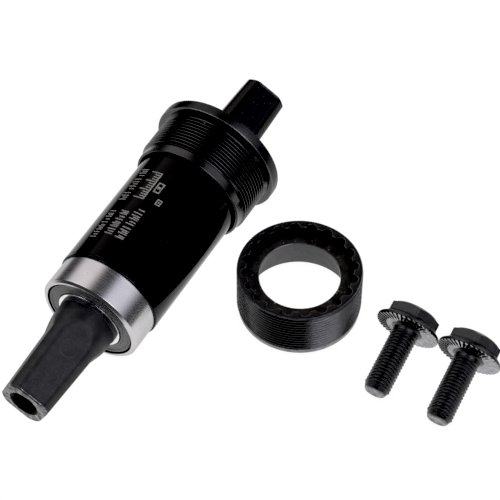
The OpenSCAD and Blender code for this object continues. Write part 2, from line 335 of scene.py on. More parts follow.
class Finish(Nodes):
    """A procedural material: a Principled surface fed by noise on the piece's own coordinates."""

    def __init__(self, name, colour, roughness, metallic=0.0, specular=0.5):
        self.material = bpy.data.materials.new(name)
        self.material.use_nodes = True
        super().__init__(self.material.node_tree)
        self.surface = self.tree.nodes["Principled BSDF"]
        self.colour, self.roughness, self.normal = colour + (1.0,), roughness, None
        self.surface.inputs["Metallic"].default_value = metallic
        self.surface.inputs["Specular IOR Level"].default_value = specular

    def local(self):
        """Millimetres about the piece's own axis, from the attribute that add_piece() stores."""
        return self.add("ShaderNodeAttribute", attribute_name="local").outputs["Vector"]

    def noise(self, size, stretch=(1, 1, 1), detail=3.0, turned=False, low=0.35, high=0.65):
        """A 0 to 1 value that varies over patches of the given size in millimetres."""
        coords = self.add("ShaderNodeTexCoord").outputs["Object"]
        if turned:
            coords = self.vector("SCALE", self.local(), scale=MM)
        mapping = self.add("ShaderNodeMapping")
        self.feed(mapping.inputs["Vector"], coords)
        mapping.inputs["Scale"].default_value = [1 / (size * MM * s) for s in stretch]
        texture = self.add("ShaderNodeTexNoise")
        texture.inputs["Scale"].default_value = 1.0
        texture.inputs["Detail"].default_value = detail
        self.feed(texture.inputs["Vector"], mapping.outputs[0])
        return self.spread(texture.outputs["Fac"], low, high)

    def edges(self, low, high):
        """A 0 to 1 value that is high on outer edges."""
        return self.spread(self.add("ShaderNodeNewGeometry").outputs["Pointiness"], low, high)

    def along(self, low, high):
        """A 0 to 1 value that rises between two stations."""
        return self.spread(self.parts(self.local())["Z"], low, high)

    def steep_side_shade(self):
        """A 0 to 1 value that is high on the steep sides of the teeth that ratchet() draws, where painted shade
        darkens them.
        """
        local = self.local()
        x, y, _ = self.parts(local)
        reach = self.vector("LENGTH", self.vector("MULTIPLY", local, (1.0, 1.0, 0.0)))
        around = self.math("MULTIPLY", self.math("ARCTAN2", y, x, clamp=False), -TEETH / TAU, clamp=False)
        swept = self.math("MULTIPLY", reach, TOOTH_SWEEP / TAU, clamp=False)
        wave = self.math("FRACT", self.math("ADD", around, swept, clamp=False), 0.0, clamp=False)
        return self.math("MULTIPLY", self.spread(wave, GENTLE - 0.08, GENTLE), self.spread(wave, 1.0, 0.94))

    def ring_mark(self, centre, radius, width):
        """A 0 to 1 value that is high on a plain ring about a point given in local millimetres."""
        reach = self.vector("DISTANCE", self.local(), centre)
        return self.math("MULTIPLY", self.spread(reach, radius - width, radius),
                         self.spread(reach, radius + width, radius))

    def tint(self, factor, colour):
        """Mixes another colour in where the factor is high."""
        mix = self.add("ShaderNodeMix", data_type="RGBA")
        for index, source in ((0, factor), (6, self.colour), (7, colour + (1.0,))):
            self.feed(mix.inputs[index], source)
        self.colour = mix.outputs[2]
        return self

    def roughen(self, factor, roughness):
        """Moves the roughness towards another value where the factor is high."""
        mix = self.add("ShaderNodeMix", data_type="FLOAT")
        for index, source in ((0, factor), (2, self.roughness), (3, roughness)):
            self.feed(mix.inputs[index], source)
        self.roughness = mix.outputs[0]
        return self

    def shine(self, factor, level):
        """Moves the specular level towards another value where the factor is high."""
        socket = self.surface.inputs["Specular IOR Level"]
        self.feed(socket, self.spread(factor, 0.0, 1.0, socket.default_value, level))
        return self

    def bump(self, height, depth):
        """Raises the surface by up to depth millimetres where the height is 1."""
        node = self.add("ShaderNodeBump")
        node.inputs["Distance"].default_value = depth * MM
        self.feed(node.inputs["Height"], height)
        if self.normal is not None:
            self.feed(node.inputs["Normal"], self.normal)
        self.normal = node.outputs[0]
        return self

    def done(self):
        self.feed(self.surface.inputs["Base Color"], self.colour)
        self.feed(self.surface.inputs["Roughness"], self.roughness)
        if self.normal is not None:
            self.feed(self.surface.inputs["Normal"], self.normal)
        return self.material


def black_phosphate():
    f = Finish("black_phosphate", (0.021, 0.021, 0.0217), 0.4, specular=0.36)
    blotch, grain, cloud = f.noise(2.6, detail=6), f.noise(0.3, detail=4), f.noise(9.0, detail=3)
    f.tint(cloud, (0.016, 0.016, 0.0168)).tint(blotch, (0.028, 0.0276, 0.0286)).roughen(grain, 0.52)
    drive_end = f.along(-20.0, 30.0)
    f.tint(drive_end, (0.005, 0.005, 0.0053)).roughen(drive_end, 0.24).shine(drive_end, 0.2)
    stamp = f.ring_mark(STAMP_AT, 2.5, 0.35)
    f.tint(f.math("MULTIPLY", stamp, grain), (0.05, 0.05, 0.052))
    f.tint(f.math("MULTIPLY", f.edges(0.53, 0.62), grain), (0.12, 0.12, 0.125))
    f.tint(f.noise(0.7, detail=2, low=0.68, high=0.74), (0.05, 0.05, 0.052))
    return f.bump(grain, 0.014).bump(blotch, 0.02).bump(stamp, 0.05).done()


def hole_painted_shade():
    # Darker and duller than the spindle's phosphate: painted shade inside the tapped hole
    f = Finish("hole_painted_shade", (0.010, 0.010, 0.0105), 0.6, specular=0.15)
    grain = f.noise(0.4, detail=4)
    return f.tint(grain, (0.018, 0.018, 0.019)).bump(grain, 0.01).done()


def bare_end_steel():
    f = Finish("bare_end_steel", (0.26, 0.26, 0.265), 0.36, metallic=1.0)
    turning, stain = f.noise(0.12, (8, 8, 1), turned=True), f.noise(1.3, detail=5)
    f.tint(stain, (0.11, 0.11, 0.113)).roughen(stain, 0.55).tint(f.edges(0.53, 0.6), (0.5, 0.5, 0.51))
    return f.bump(turning, 0.01).done()


def gloss_black():
    f = Finish("gloss_black_paint", (0.002, 0.002, 0.0023), 0.08, specular=0.16)
    dust, peel = f.noise(0.5, detail=2, low=0.66, high=0.72), f.noise(2.2, detail=1)
    f.tint(dust, (0.022, 0.022, 0.023)).roughen(f.noise(7.0, detail=3), 0.13).roughen(dust, 0.5)
    return f.bump(peel, 0.003).done()


def satin_black(name="satin_black_cup", base=(0.004, 0.004, 0.0043), roughness=0.17,
                wear_and_edge_highlight=(0.14, 0.14, 0.145), specular=0.72, dust_and_glints=(0.05, 0.05, 0.052)):
    f = Finish(name, base, roughness, specular=specular)
    patch, grain = f.noise(2.5, detail=5), f.noise(0.25, detail=3)
    lines = f.noise(0.14, (30, 30, 1), turned=True)
    f.tint(patch, tuple(c * 1.8 for c in base)).roughen(patch, roughness + 0.1)
    # Lighter outer edges: partly wear, partly a painted highlight along the edges
    f.tint(f.math("MULTIPLY", f.edges(0.54, 0.68), patch), wear_and_edge_highlight)
    # Scattered lighter specks: dust, and painted glints where they are set brighter
    f.tint(f.noise(0.5, detail=2, low=0.69, high=0.75), dust_and_glints)
    return f.bump(lines, 0.006).bump(grain, 0.004).done()


def ground_steel():
    f = Finish("ground_steel", (0.62, 0.60, 0.605), 0.2, metallic=1.0)
    f.surface.inputs["Specular Tint"].default_value = (0.72, 0.72, 0.73, 1.0)
    lines, haze = f.noise(0.09, (60, 60, 1), detail=2, turned=True), f.noise(6.0, (1, 1, 2.5), detail=4)
    f.tint(haze, (0.57, 0.56, 0.58)).roughen(lines, 0.28)
    f.tint(f.noise(0.6, detail=2, low=0.7, high=0.76), (0.38, 0.37, 0.38))
    return f.bump(lines, 0.0008).done()


def groove_painted_shade():
    # Near black on the ring's seat and the seal's hidden side in the gap between them: painted shade
    f = Finish("groove_painted_shade", (0.012, 0.012, 0.0125), 0.55, specular=0.2)
    oil = f.noise(0.8, detail=4)
    return f.tint(oil, (0.022, 0.021, 0.02)).roughen(oil, 0.4).bump(oil, 0.01).done()


def race_steel():
    f = Finish("race_steel", (0.80, 0.80, 0.81), 0.10, metallic=1.0)
    lines = f.noise(0.1, (40, 40, 1), turned=True)
    f.roughen(lines, 0.17).tint(f.noise(2.0, detail=4), (0.70, 0.70, 0.71))
    return f.bump(lines, 0.001).done()


def seal_rubber():
    f = Finish("seal_rubber", (0.15, 0.15, 0.155), 0.34, specular=0.75)
    mottle, grain = f.noise(1.1, detail=5), f.noise(0.2, detail=3)
    f.tint(mottle, (0.095, 0.095, 0.10)).roughen(grain, 0.5)
    return f.bump(grain, 0.016).bump(mottle, 0.012).done()


def shield_rubber():
    f = Finish("shield_rubber", (0.03, 0.03, 0.031), 0.55, specular=0.4)
    grain = f.noise(0.3, detail=4)
    f.tint(f.noise(1.6, detail=4), (0.045, 0.045, 0.047)).roughen(grain, 0.7)
    return f.bump(grain, 0.02).done()


def spring_steel():
    f = Finish("spring_steel", (0.05, 0.05, 0.053), 0.36, metallic=0.6)
    grain = f.noise(0.5, detail=4)
    f.tint(f.edges(0.52, 0.6), (0.3, 0.3, 0.31)).roughen(grain, 0.5)
    return f.bump(grain, 0.006).done()


def spacer_steel():
    f = Finish("spacer_steel", (0.42, 0.42, 0.43), 0.4, metallic=1.0)
    grain = f.noise(0.6, detail=5)
    f.tint(f.noise(3.0, detail=4), (0.33, 0.33, 0.335)).roughen(grain, 0.55)
    return f.bump(grain, 0.01).done()


def cage_brass():
    f = Finish("cage_brass", (0.55, 0.42, 0.2), 0.34, metallic=1.0)
    grain = f.noise(0.4, detail=4)
    f.tint(f.noise(1.5, detail=4), (0.4, 0.3, 0.15)).roughen(grain, 0.48)
    return f.bump(grain, 0.008).done()


def ball_steel():
    f = Finish("ball_steel", (0.88, 0.88, 0.89), 0.06, metallic=1.0)
    film = f.noise(0.8, detail=3)
    return f.roughen(film, 0.13).bump(f.noise(0.2, detail=2), 0.0006).done()


def bolt_black():
    f = Finish("bolt_black_oxide", (0.010, 0.010, 0.0105), 0.26, specular=0.56)
    patch, grain = f.noise(1.6, detail=6), f.noise(0.2, detail=3)
    f.tint(patch, (0.022, 0.022, 0.023)).roughen(patch, 0.42)
    # Lighter along outer edges and thread crests: a painted highlight
    f.tint(f.math("MULTIPLY", f.edges(0.55, 0.66), f.noise(0.6, detail=3)), (0.11, 0.11, 0.113))
    return f.bump(grain, 0.01).done()


def bolt_seat():
    f = Finish("bolt_seat_worn_with_painted_shade", (0.40, 0.40, 0.41), 0.16, metallic=1.0)
    patch, grain = f.noise(1.2, detail=5), f.noise(0.2, detail=3)
    f.tint(patch, (0.28, 0.28, 0.29)).roughen(patch, 0.26)
    # Near black on the steep sides of the teeth: painted shade
    f.tint(f.steep_side_shade(), (0.004, 0.004, 0.0042))
    return f.bump(grain, 0.004).done()


def bolt_bare():
    f = Finish("bolt_bare_steel", (0.30, 0.30, 0.305), 0.32, metallic=0.9)
    stain = f.noise(1.6, detail=4)
    f.tint(stain, (0.15, 0.15, 0.155)).roughen(stain, 0.4)
    f.tint(f.edges(0.53, 0.6), (0.5, 0.5, 0.51))
    return f.bump(f.noise(0.15, detail=3), 0.008).done()


def pad_print():
    f = Finish("pad_print_grey", (0.36, 0.345, 0.32), 0.6, specular=0.3)
    thin = f.noise(0.4, detail=4)
    f.tint(thin, (0.22, 0.21, 0.195)).roughen(thin, 0.7)
    return f.bump(thin, 0.004).done()


PHOSPHATE, END_STEEL, GLOSS, CUP = black_phosphate(), bare_end_steel(), gloss_black(), satin_black()
HOLE_SHADE, GROOVE_SHADE, SEAT = hole_painted_shade(), groove_painted_shade(), bolt_seat()
CUP_BORE = satin_black("black_cup_bore", (0.052, 0.052, 0.054), 0.42, wear_and_edge_highlight=(0.2, 0.2, 0.205))
CUP_RIM = satin_black("black_cup_flange", (0.003, 0.003, 0.0032), 0.25, specular=0.42)
# Lighter grey at full specular on the edge bands of both cups: a painted highlight line
CUP_EDGE_HIGHLIGHT = satin_black("black_cup_painted_edge_highlight", (0.045, 0.045, 0.047), 0.24, specular=1.0)
LOOSE = satin_black("black_loose_cup", (0.0035, 0.0035, 0.0038), 0.24, wear_and_edge_highlight=(0.5, 0.5, 0.51), specular=0.29)
# Its brighter specks are painted glints
LOOSE_FLOOR = satin_black("black_loose_recess", (0.0168, 0.0160, 0.0148), 0.34, wear_and_edge_highlight=(0.5, 0.5, 0.51),
                          specular=0.14, dust_and_glints=(0.24, 0.24, 0.24))
# A lighter base on the notch chamfers: a painted highlight at the notch edges
CUP_NOTCH = satin_black("black_cup_notch_edge", (0.018, 0.018, 0.0185), 0.26, specular=0.7)
LOOSE_THREAD = satin_black("black_loose_thread", roughness=0.13, specular=0.66)
# Light grey on the loose cup's bottom band: painted light from the floor below
CUP_FOOT_LIT = satin_black("black_cup_foot_painted_light", (0.16, 0.16, 0.165), 0.34, wear_and_edge_highlight=(0.3, 0.3, 0.305))
RING, RACE, SEAL, SHIELD = ground_steel(), race_steel(), seal_rubber(), shield_rubber()
SPRING, SPACER, BRASS, BALL = spring_steel(), spacer_steel(), cage_brass(), ball_steel()
BOLT, BOLT_BARE, PRINT = bolt_black(), bolt_bare(), pad_print()

# ---- Spindle ----

def square_columns(corner, per_side=56):
    """Column angles round a square, crowded towards its corners and where its flats meet the round."""
    t = np.arange(per_side) / per_side
    crowded = t - 0.0275 * np.sin(TAU * 2 * t) - 0.04 * np.sin(TAU * t)
    return np.concatenate([corner + (side + crowded) * TAU / 4 for side in range(4)])


def spindle():
    lo, hi = AXIS.span("spindle")
    journal = AXIS.radii("spindle", lo + 22, lo + 34)[1]
    end = AXIS.radii("spindle", lo, lo + 0.05)[1]
    radius, _, station = AXIS.vertices("spindle")
    shoulder = radius.max()
    at_shoulder = station[radius > shoulder - 0.01]
    shoulder_lo, shoulder_hi = at_shoulder.min(), at_shoulder.max()
    # Depths from an end where the taper stops, the round reaches the journal and the flats are gone
    taper, full_round, plain = 21.0, 24.0, 25.9
    half_flat, slope, runout = 6.35, math.tan(math.radians(2)), math.tan(math.radians(20))
    corner = AXIS.corner_angle("spindle", 4, lo, lo + 0.6)
    columns = square_columns(corner)
    off_flat = np.abs((columns - corner) % (TAU / 4) - TAU / 8)

    def skin(depth):
        """Radius at each depth from an end, column by column, with a line of wear near the end."""
        depth = np.asarray(depth, float)[:, None]
        share = np.clip((depth - 0.5) / (full_round - 0.5), 0, 1)
        round_part = np.minimum(end + (journal - end) * share, end - 0.5 + depth)
        flat = half_flat + slope * np.minimum(depth, taper) + runout * np.maximum(depth - taper, 0)
        flat = np.minimum(flat, half_flat - 0.35 + depth * 1.2)
        turned = smooth_min(round_part, flat / np.cos(off_flat), 0.5)
        return turned - 0.14 * np.exp(-((depth - 1.0) / 0.2) ** 2)

    # Depths of the rows from an end, of which the first few are bare of coating
    inward = np.concatenate([np.linspace(0, 1.5, 16), np.linspace(2, 19.5, 28), np.linspace(20, 25.6, 34)])
    bare_rows = 6
    rim = skin([0.0])[0]
    hole = MOUNT["drive_bolt_hole"]["dims"]
    tapped, mouth, thread_depth = hole["r_mm"], 4.3, 9.0
    thread_start, tapped_end = mouth - tapped, mouth - tapped + hole["length_mm"]
    sink = rounded([(mouth + 0.12, 0, 0), (mouth, 0.04, 0), (tapped + 0.05, thread_start, 0)])
    well = rounded([(tapped + 0.05, thread_depth, 0), (tapped, thread_depth + 0.3, 0),
                    (tapped, tapped_end, 0.2), (0, tapped_end + 2, 0)])
    bands = []
    for face, way in ((lo, 1.0), (hi, -1.0)):
        outside = np.array([row(radii, face + way * depth) for radii, depth in zip(skin(inward), inward)])
        bands += [(outside[:bare_rows], 1), (outside[bare_rows - 1:], 0)]
        inmost = mouth + 0.12
        end_face = [row(inmost + (rim - inmost) * share, face) for share in (1.0, 0.93, 0.5, 0.06, 0.0)]
        bands.append((np.array(end_face), 1))
        first, last = sorted((face + way * thread_start, face + way * thread_depth))
        low, deep = tapped + 0.05, tapped + 0.45
        grooves = envelope([(first, low), (first + 0.3, deep), (last - 0.3, deep), (last, low)])
        crests = envelope([(first, low), (last, low)])
        thread, shift = helix(columns, first, last, BOLT_PITCH, 1, crests, grooves)
        bands.append((thread, 2, shift))
        for outline in (sink, well):
            bands.append((rings(outline * (1, way) + (0, face), columns), 2))
        bands.append((np.array([row(skin(inward[-1:])[0], face + way * inward[-1]),
                                row(np.full_like(columns, journal), face + way * plain)]), 0))
    core = rounded([(journal, lo + plain, 0), (journal, shoulder_lo, 0.25), (shoulder, shoulder_lo, 0.2),
                    (shoulder, shoulder_hi, 0.2), (journal, shoulder_hi, 0.25), (journal, hi - plain, 0)])
    bands.append((rings(core, columns), 0))
    grow("spindle_forged", AXIS, "rotor", columns, bands, [PHOSPHATE, END_STEEL, HOLE_SHADE],
         ["spindle"])


# ---- Bare bearing at the non-drive end ----

def raceway(land, way):
    """Outline corners of the groove that the balls run in, from one edge of its land to the other."""
    near, far = AXIS.radii("non_drive_bearing_balls")
    pitch, groove = (near + far) / 2, (far - near) / 2 + 0.06
    middle = sum(AXIS.span("non_drive_bearing_balls")) / 2
    reach = math.sqrt(groove ** 2 - (land - pitch) ** 2)
    return [(pitch + math.copysign(math.sqrt(groove ** 2 - d ** 2), land - pitch), middle + way * d, 0)
            for d in np.linspace(-reach, reach, 9)]


def bare_bearing():
    columns = even_columns(192)
    # Width of the rings, and how far in the lands that carry the grooves start
    width, inset, outer_land = 12.0, 1.4, 13.0
    face, skirt_end = AXIS.span("non_drive_bearing_outer_ring")
    outer = AXIS.radii("non_drive_bearing_outer_ring")[1]
    skirt = outer - 1.0
    seat = AXIS.radii("non_drive_bearing_outer_ring", face - 0.05, face + 0.05)[0]
    around = rounded([(seat, face + 0.14, 0), (seat + 0.12, face, 0.04), (outer - 0.7, face, 0.28),
                      (outer, face + 0.7, 0.3), (outer, skirt_end, 0.15), (skirt, skirt_end, 0.1),
                      (skirt, face + width, 0.1), (seat, face + width, 0.1),
                      (seat, face + width - inset, 0.1), (outer_land, face + width - inset, 0.1),
                      *raceway(outer_land, -1),
                      (outer_land, face + inset, 0.1), (seat, face + inset, 0)])
    # The ring's seat under the seal is drawn in the painted shade
    groove = [(seat, face + inset), (seat, face + 0.14)]
    grow("bare_bearing_ring", AXIS, "cartridge", columns,
         [(rings(around, columns), 0), (rings(groove, columns), 1)],
         [RING, GROOVE_SHADE], ["non_drive_bearing_outer_ring"])

    lip = AXIS.radii("non_drive_bearing_outboard_seal")[0]
    front, back = AXIS.span("non_drive_bearing_outboard_seal")
    rim = seat - 0.45
    seal = loop([(lip, back, 0.05), (seat, back, 0.05), (seat, back - 0.42, 0.1), (rim, back - 0.45, 0.05),
                 (rim, front, 0.18), (rim - 0.7, front, 0.15), (rim - 0.95, front + 0.22, 0.1),
                 (lip + 1.05, front + 0.22, 0.1), (lip + 0.8, front, 0.12), (lip + 0.25, front, 0.12),
                 (lip, front + 0.3, 0.1)])
    # The seal's back and its rim inside the ring are in the painted shade; from the front face on it is rubber
    foot = int(np.argmax(seal[:, 1] < front + 0.15))
    grow("outboard_seal_moulding", AXIS, "cartridge", columns,
         [(rings(seal[:foot + 1], columns), 1), (rings(seal[foot:], columns), 0)],
         [SEAL, GROOVE_SHADE], ["non_drive_bearing_outboard_seal"])

    bore, land = AXIS.radii("non_drive_bearing_inner_ring")
    step = AXIS.radii("non_drive_bearing_inner_ring", face - 0.1, face + 0.6)[1]
    low, high = AXIS.span("non_drive_bearing_inner_ring")
    inner = loop([(bore, low, 0.1), (step, low, 0.12), (step, low + inset, 0.1), (land, low + inset, 0.1),
                  *raceway(land, 1), (land, high - inset, 0.1), (step, high - inset, 0.1), (step, high, 0.2),
                  (bore, high, 0.15)])
    grow("bare_inner_ring", AXIS, "rotor", columns, [(rings(inner, columns), 0)],
         [RACE], ["non_drive_bearing_inner_ring"])


def snap_ring(node, name):
    """A retaining ring with rounded edges, open over the gap that the CAD ring has."""
    lo, hi = AXIS.span(node)
    inner, outer = AXIS.radii(node)
    order = np.sort(AXIS.vertices(node)[1])
    gaps = np.diff(np.append(order, order[0] + TAU))
    widest = int(gaps.argmax())
    start, sweep = order[(widest + 1) % len(order)], TAU - gaps[widest]
    section = rounded([(inner, lo, 0.1), (outer, lo, 0.16), (outer, hi, 0.16), (inner, hi, 0.1)],
                      closed=True)
    around, count = len(section), 128
    turns = start + sweep * np.linspace(0, 1, count)
    local = [(r * math.cos(t), r * math.sin(t), z) for t in turns for r, z in section]
    after = [(k + 1) % around for k in range(around)]
    faces = []
    for i in range(count - 1):
        here, there = i * around, (i + 1) * around
        faces += [(here + k, here + n, there + n, there + k) for k, n in enumerate(after)]
    centre = section.mean(axis=0)
    for t, first in ((turns[0], 0), (turns[-1], (count - 1) * around)):
        hub = len(local)
        local.append((centre[0] * math.cos(t), centre[0] * math.sin(t), centre[1]))
        faces += [(hub, first + n, first + k) for k, n in enumerate(after)]
    add_piece(name, AXIS, "rotor", np.array(local), faces, [SPRING], [node])


# ---- Tube and its print ----

def tube():
    lo, hi = AXIS.span("shell_tube")
    inner, outer = AXIS.radii("shell_tube")
    columns = even_columns(224)
    scored = outer - 0.05
    around = loop([(inner, lo, 0.08), (outer - 0.1, lo, 0.15), (outer, lo + 0.35, 0.2),
                   (outer, lo + 0.9, 0.05), (scored, lo + 1.0, 0.05), (scored, lo + 1.15, 0.05),
                   (outer, lo + 1.25, 0.05), (outer, hi, 0.1), (inner, hi, 0.1)])
    grow("painted_tube", AXIS, "cartridge", columns, [(rings(around, columns), 0)],
         [GLOSS], ["shell_tube"])


def print_marks():
    """Plain bars, a ruler of ticks and two boxes where the tube has its print, just proud of the paint."""
    surface = AXIS.radii("shell_tube")[1]
    sunk, proud = surface - 0.05, surface + 0.02
    stroke, letter_gap = 0.36, 0.65
    local, faces = [], []

    def patch(lo, hi, start, sweep):
        """A raised patch between two stations, from an angle in degrees from the top, towards -Y."""
        steps = max(2, int(abs(sweep)))
        base = len(local)
        for k in range(steps + 1):
            t = math.pi + math.radians(start + sweep * k / steps)
            for r, z in ((sunk, lo), (proud, lo), (proud, hi), (sunk, hi)):
                local.append((r * math.cos(t), r * math.sin(t), z))
        for k in range(steps):
            a, b = base + k * 4, base + k * 4 + 4
            for e in range(4):
                n = (e + 1) % 4
                faces.append((a + e, a + n, b + n, b + e))
        last = base + steps * 4
        faces.append((base, base + 3, base + 2, base + 1))
        faces.append((last, last + 1, last + 2, last + 3))

    def mark(at, angle, wide, tall, strokes):
        """Fine strokes side by side, every other one shorter."""
        step = (wide - stroke) / max(1, strokes - 1)
        for k in range(strokes):
            trim = 0.0 if k % 2 == 0 else 0.3 * tall
            patch(at + k * step, at + k * step + stroke, angle + trim, tall - trim)

    # First station, angle and height in degrees, and the width and strokes of each mark in the row
    rows = ((1.0, -38.5, 10.5, ((1.9, 3), (1.9, 2), (2.1, 3), (1.8, 2), (1.7, 3))),
            (-13.4, -37.0, 9.0, ((2.1, 3), (2.1, 4), (1.5, 2), (1.5, 3), (0.5, 1))),
            (-11.4, -22.0, 9.5, ((2.0, 3), (2.0, 4), (1.4, 2), (1.4, 3))),
            (-11.6, -8.0, 10.0, ((0.9, 2), (1.5, 3), (0.8, 1), (1.2, 2), (1.6, 3), (1.6, 2))))
    for at, angle, tall, marks in rows:
        for wide, strokes in marks:
            mark(at, angle, wide, tall, strokes)
            at += wide + letter_gap

    ruler, ruler_angle, ticks, tick_step = 2.6, -10.0, 13, 0.8
    for k in range(ticks):
        tall = 12.0 if k % 4 == 0 else 6.0
        patch(ruler + k * tick_step, ruler + k * tick_step + stroke, ruler_angle - tall, tall)
    patch(ruler, ruler + (ticks - 1) * tick_step + stroke, ruler_angle, 1.6)

    # Stations, angle and sweep in degrees of the four sides and the middle of each box
    wide_box = ((6.0, 9.6, -5.5, 1.4), (6.0, 9.6, 0.5, 1.4), (6.0, 6.4, -5.5, 7.4), (9.2, 9.6, -5.5, 7.4),
                (7.4, 8.2, -3.6, 3.6))
    small_box = ((2.6, 4.6, 4.6, 1.3), (2.6, 4.6, 9.4, 1.3), (2.6, 2.95, 4.6, 6.0), (4.25, 4.6, 4.6, 6.0),
                 (3.3, 3.9, 6.8, 1.8))
    for side in wide_box + small_box:
        patch(*side)
    add_piece("size_marks", AXIS, "cartridge", np.array(local), faces, [PRINT], [])


# ---- Cups ----

def notch_columns(axis, node):
    """Column angles and recess radius of a tool recess, with its notches turned as on the CAD node."""
    r, angle, _ = axis.vertices(node)
    deep = np.abs(r - (RECESS_R + NOTCH_R)) < 0.02
    first = np.angle(np.exp(1j * NOTCHES * angle[deep]).sum()) / NOTCHES
    swing = np.radians(np.linspace(-84, 84, 10))
    x, y = RECESS_R + NOTCH_R * np.cos(swing), NOTCH_R * np.sin(swing)
    across = np.arctan2(y, x)
    gap = TAU / NOTCHES - (across[-1] - across[0])
    between = np.array([0.12, 0.37, 0.63, 0.88])
    period = np.concatenate([across, across[-1] + gap * between])
    radius = np.concatenate([np.hypot(y, x), np.full_like(between, RECESS_R)])
    columns = np.concatenate([first + k * TAU / NOTCHES + period for k in range(NOTCHES)])
    return columns, np.tile(radius, NOTCHES)


def recess_bands(radius, top, floor, hole_r, rim, chamfer, inside):
    """Bands from the rim down a notched wall and across the floor to a hole's edge, in three materials."""
    edge, foot, hold = 0.22, 0.12, 0.05
    hole = np.full_like(radius, hole_r)
    down = [(np.full_like(radius, RIM_R), top), (radius + edge + hold, top),
            (radius + edge * 0.5, top - 0.03), (radius + edge * 0.15, top - edge * 0.45),
            (radius, top - edge), (radius, top - edge - hold),
            (radius, floor + foot + hold), (radius, floor + foot)]
    in_over = [(radius - foot * 0.3, floor + foot * 0.3), (radius - foot, floor),
               (radius - foot - hold, floor), (radius * 0.88 + hole * 0.12 - foot, floor),
               (radius * 0.5 + hole * 0.5, floor), (radius * 0.1 + hole * 0.9, floor), (hole, floor)]
    rows = np.array([row(r, z) for r, z in down + in_over])
    return [(rows[:2], rim), (rows[1:5], chamfer), (rows[4:], inside)]


def drive_cup():
    lo, hi = AXIS.span("drive_cup")
    flange = AXIS.radii("drive_cup")[1]
    seat, floor = AXIS.station("flange_seat"), hi - RECESS_DEPTH
    crest = MOUNT["drive_cup_thread"]["dims"]["r_mm"]
    root = crest - SHELL_DEPTH
    relief = AXIS.radii("drive_cup", lo + 0.2, lo + 3)[1]
    columns, notched = notch_columns(AXIS, "drive_cup")
    bore, stop, stop_r = 15.4, 32.9, 13.8
    middle, half = AXIS.station("drive_cup_thread"), MOUNT["drive_cup_thread"]["dims"]["length_mm"] / 2
    start, end = middle - half - 0.75, middle + half + 0.4
    outer = envelope([(start, relief), (start + 0.75, crest), (end - 0.4, crest), (end, root)])
    inner = envelope([(start, relief), (start + 0.25, root), (end - 0.9, root), (end, root)])
    thread, shift = helix(columns, start, end, SHELL_PITCH, -1, outer, inner)
    collar = rounded([(bore + 0.6, lo, 0.1), (relief, lo, 0.35), (relief, start, 0)])
    undercut = rounded([(root, end, 0), (relief, end + 0.1, 0.1), (relief, seat - 0.85, 0.4),
                        (crest + 0.1, seat, 0.12), (flange - 0.32, seat, 0)])
    # The flange's edge band carries the painted edge highlight
    edge = [(flange - 0.32, seat), (flange - 0.1, seat + 0.07), (flange, seat + 0.3)]
    face = rounded([(flange, seat + 0.3, 0), (flange, hi, 0.45), (RIM_R, hi, 0)])
    inside = rounded([(stop_r + 0.3, floor, 0), (stop_r, floor - 0.25, 0.05), (stop_r, stop, 0.15),
                      (bore, stop, 0.1), (bore, lo + 0.6, 0.1), (bore + 0.6, lo, 0)])
    grow("drive_cup_turned", AXIS, "cartridge", columns,
         [(rings(collar, columns), 0), (thread, 0, shift), (rings(undercut, columns), 0),
          (rings(edge, columns), 2), (rings(face, columns), 1),
          *recess_bands(notched, hi, floor, stop_r + 0.3, 1, 3, 1),
          (rings(inside, columns), 1)],
         [CUP, CUP_RIM, CUP_EDGE_HIGHLIGHT, CUP_NOTCH], ["drive_cup"])


def drive_shield():
    lo, hi = AXIS.span("drive_dust_shield")
    lip, rim = AXIS.radii("drive_dust_shield")
    columns = even_columns(160)
    section = loop([(lip + 1.2, lo, 0.1), (rim, lo, 0.05), (rim, lo + 0.65, 0.2),
                    (rim - 0.9, lo + 0.82, 0.15), (rim - 1.3, lo + 0.62, 0.12), (lip + 2.4, lo + 0.86, 0.2),
                    (lip + 1.5, hi, 0.18), (lip, hi, 0.15), (lip, lo + 0.75, 0.1)])
    grow("drive_shield_moulding", AXIS, "cartridge", columns, [(rings(section, columns), 0)],
         [SHIELD], ["drive_dust_shield"])


